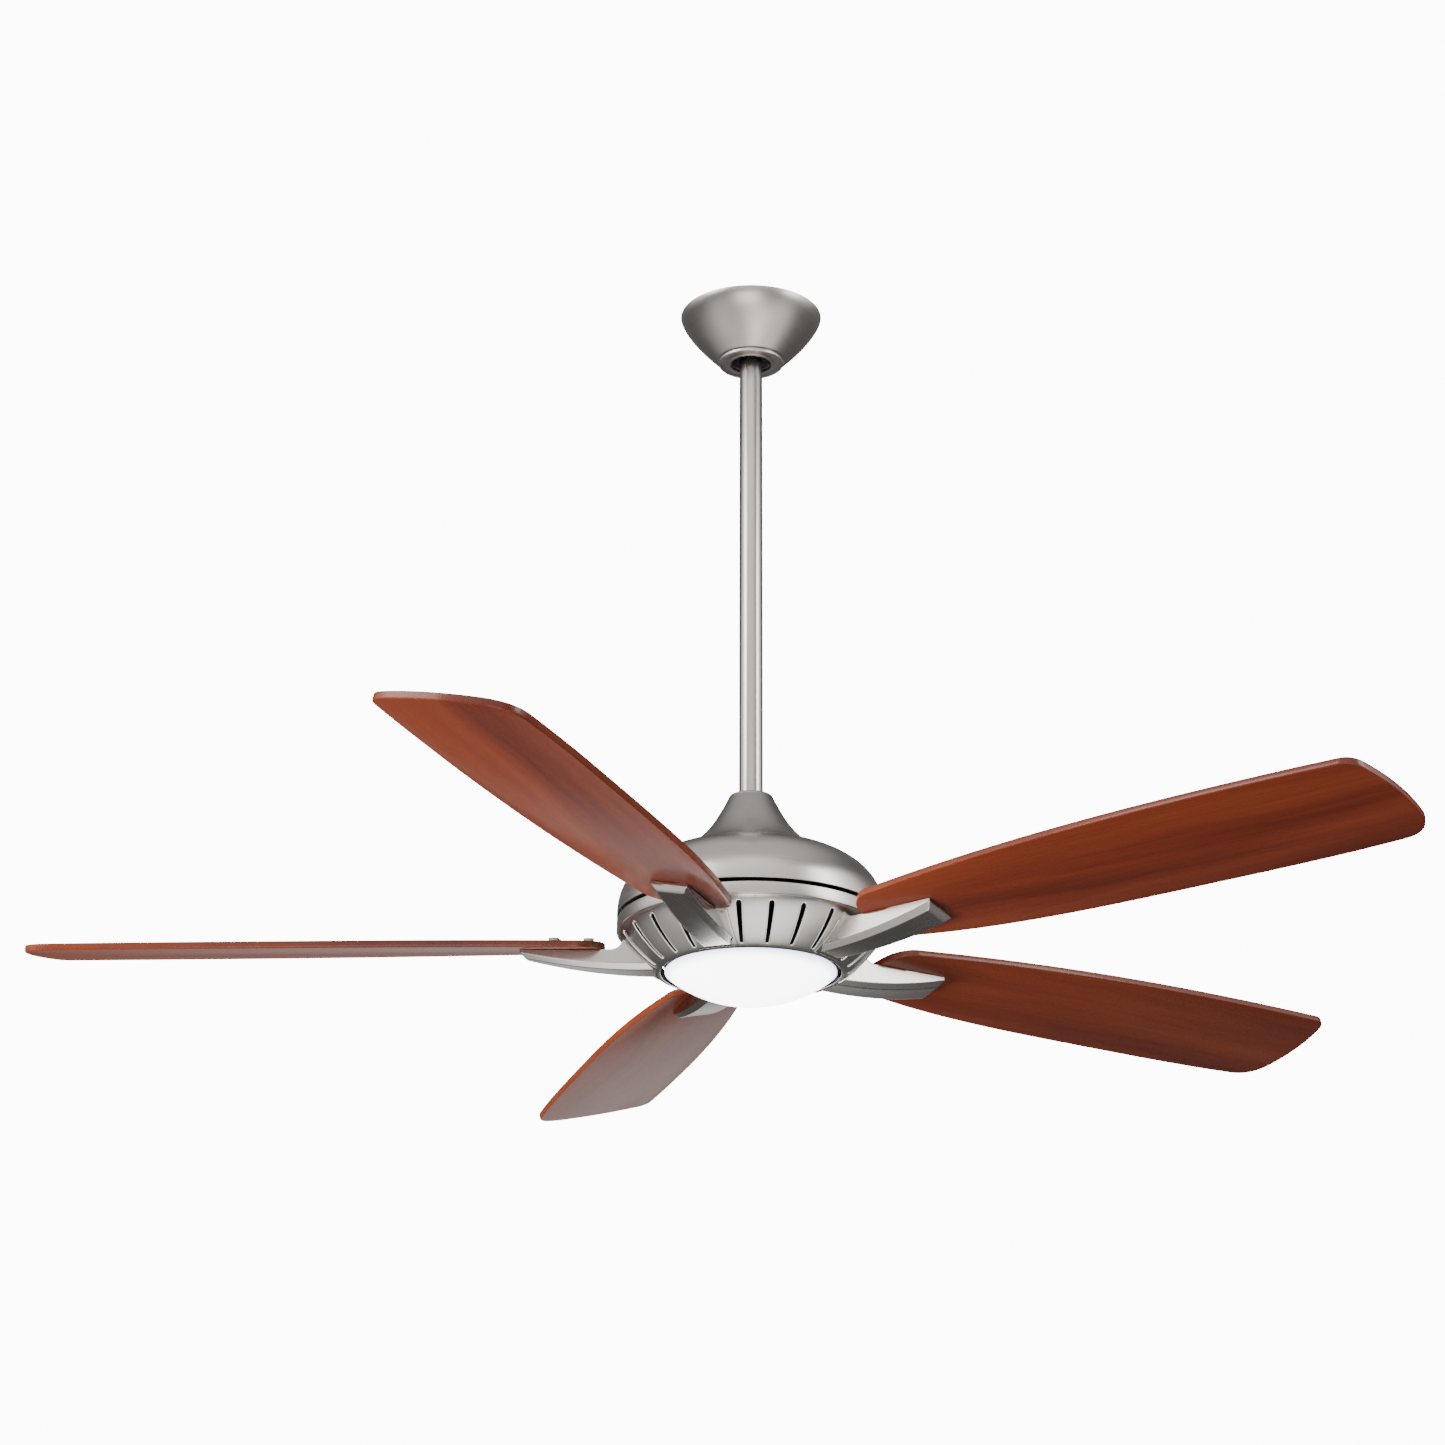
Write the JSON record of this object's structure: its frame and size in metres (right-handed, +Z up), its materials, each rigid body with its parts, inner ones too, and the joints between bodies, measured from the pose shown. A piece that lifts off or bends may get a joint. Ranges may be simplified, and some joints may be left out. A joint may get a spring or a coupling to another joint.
{
  "type": "ceiling fan with light",
  "caption": "Ceiling fan on a downrod: pitched wood blades on metal arms, a vented bowl that turns under a still dome, and a round light below.",
  "frame": {"origin": "centre of the hanger bracket's top face, on the ceiling and on the fan's axis", "axes": "+Z up along the fan's axis into the ceiling; +X and +Y level, +Y away from the viewer; the light hangs towards -Z"},
  "size_m": [1.2322, 1.2714, 0.6954],
  "materials": {
    "nickel": "brushed satin nickel plate",
    "steel": "zinc plated",
    "painted_shell": "dark semi-gloss paint",
    "cherry_wood": "glossy lacquered dark cherry veneer",
    "opal": "opal diffuser, satin",
    "black_plastic": "moulded, matte",
    "copper": "enamelled copper winding",
    "iron": "laminated electrical steel",
    "magnet": "bonded ferrite ring",
    "circuit_board": "white coated board"
  },
  "bodies": {
    "ceiling_mount": {"hanger_bracket": "steel", "canopy": "nickel", "canopy_ring": "nickel", "canopy_screw_1": "steel", "canopy_screw_2": "steel", "remote_receiver": "black_plastic"},
    "fan_body": {"hanger_ball": "black_plastic", "ball_pin": "steel", "downrod": "nickel", "motor_yoke": "painted_shell", "yoke_pin": "steel", "yoke_set_screw": "steel", "yoke_cover": "nickel", "motor_dome": "nickel", "motor_shaft": "steel", "stator_core": "iron", "stator_winding": "copper", "light_pan": "painted_shell", "led_board": "circuit_board", "led_driver": "black_plastic", "pan_nut": "steel"},
    "rotor": {"motor_shell_upper": "painted_shell", "motor_shell_lower": "painted_shell", "magnet_ring": "magnet", "upper_bearing": "steel", "lower_bearing": "steel", "vented_bowl": "nickel", "blade_arm_1": "nickel", "blade_1": "cherry_wood", "blade_fixing_1": "steel", "arm_bolt_1a": "steel", "arm_bolt_1b": "steel", "blade_arm_2": "nickel", "blade_2": "cherry_wood", "blade_fixing_2": "steel", "arm_bolt_2a": "steel", "arm_bolt_2b": "steel", "blade_arm_3": "nickel", "blade_3": "cherry_wood", "blade_fixing_3": "steel", "arm_bolt_3a": "steel", "arm_bolt_3b": "steel", "blade_arm_4": "nickel", "blade_4": "cherry_wood", "blade_fixing_4": "steel", "arm_bolt_4a": "steel", "arm_bolt_4b": "steel", "blade_arm_5": "nickel", "blade_5": "cherry_wood", "blade_fixing_5": "steel", "arm_bolt_5a": "steel", "arm_bolt_5b": "steel"},
    "light_lens": {"lens": "opal"}
  },
  "joints": [
    {"name": "rod_sway", "type": "hinge", "parent": "ceiling_mount", "child": "fan_body", "pos_m": [0, 0, -0.026], "axis": [1, 0, 0], "range_deg": [-12, 12]},
    {"name": "rotor_spin", "type": "hinge", "parent": "fan_body", "child": "rotor", "pos_m": [0, 0, -0.6415], "axis": [0, 0, 1], "continuous": true},
    {"name": "lens_twist", "type": "hinge", "parent": "fan_body", "child": "light_lens", "pos_m": [0, 0, -0.6663], "axis": [0, 0, 1], "range_deg": [0, 30]}
  ]
}
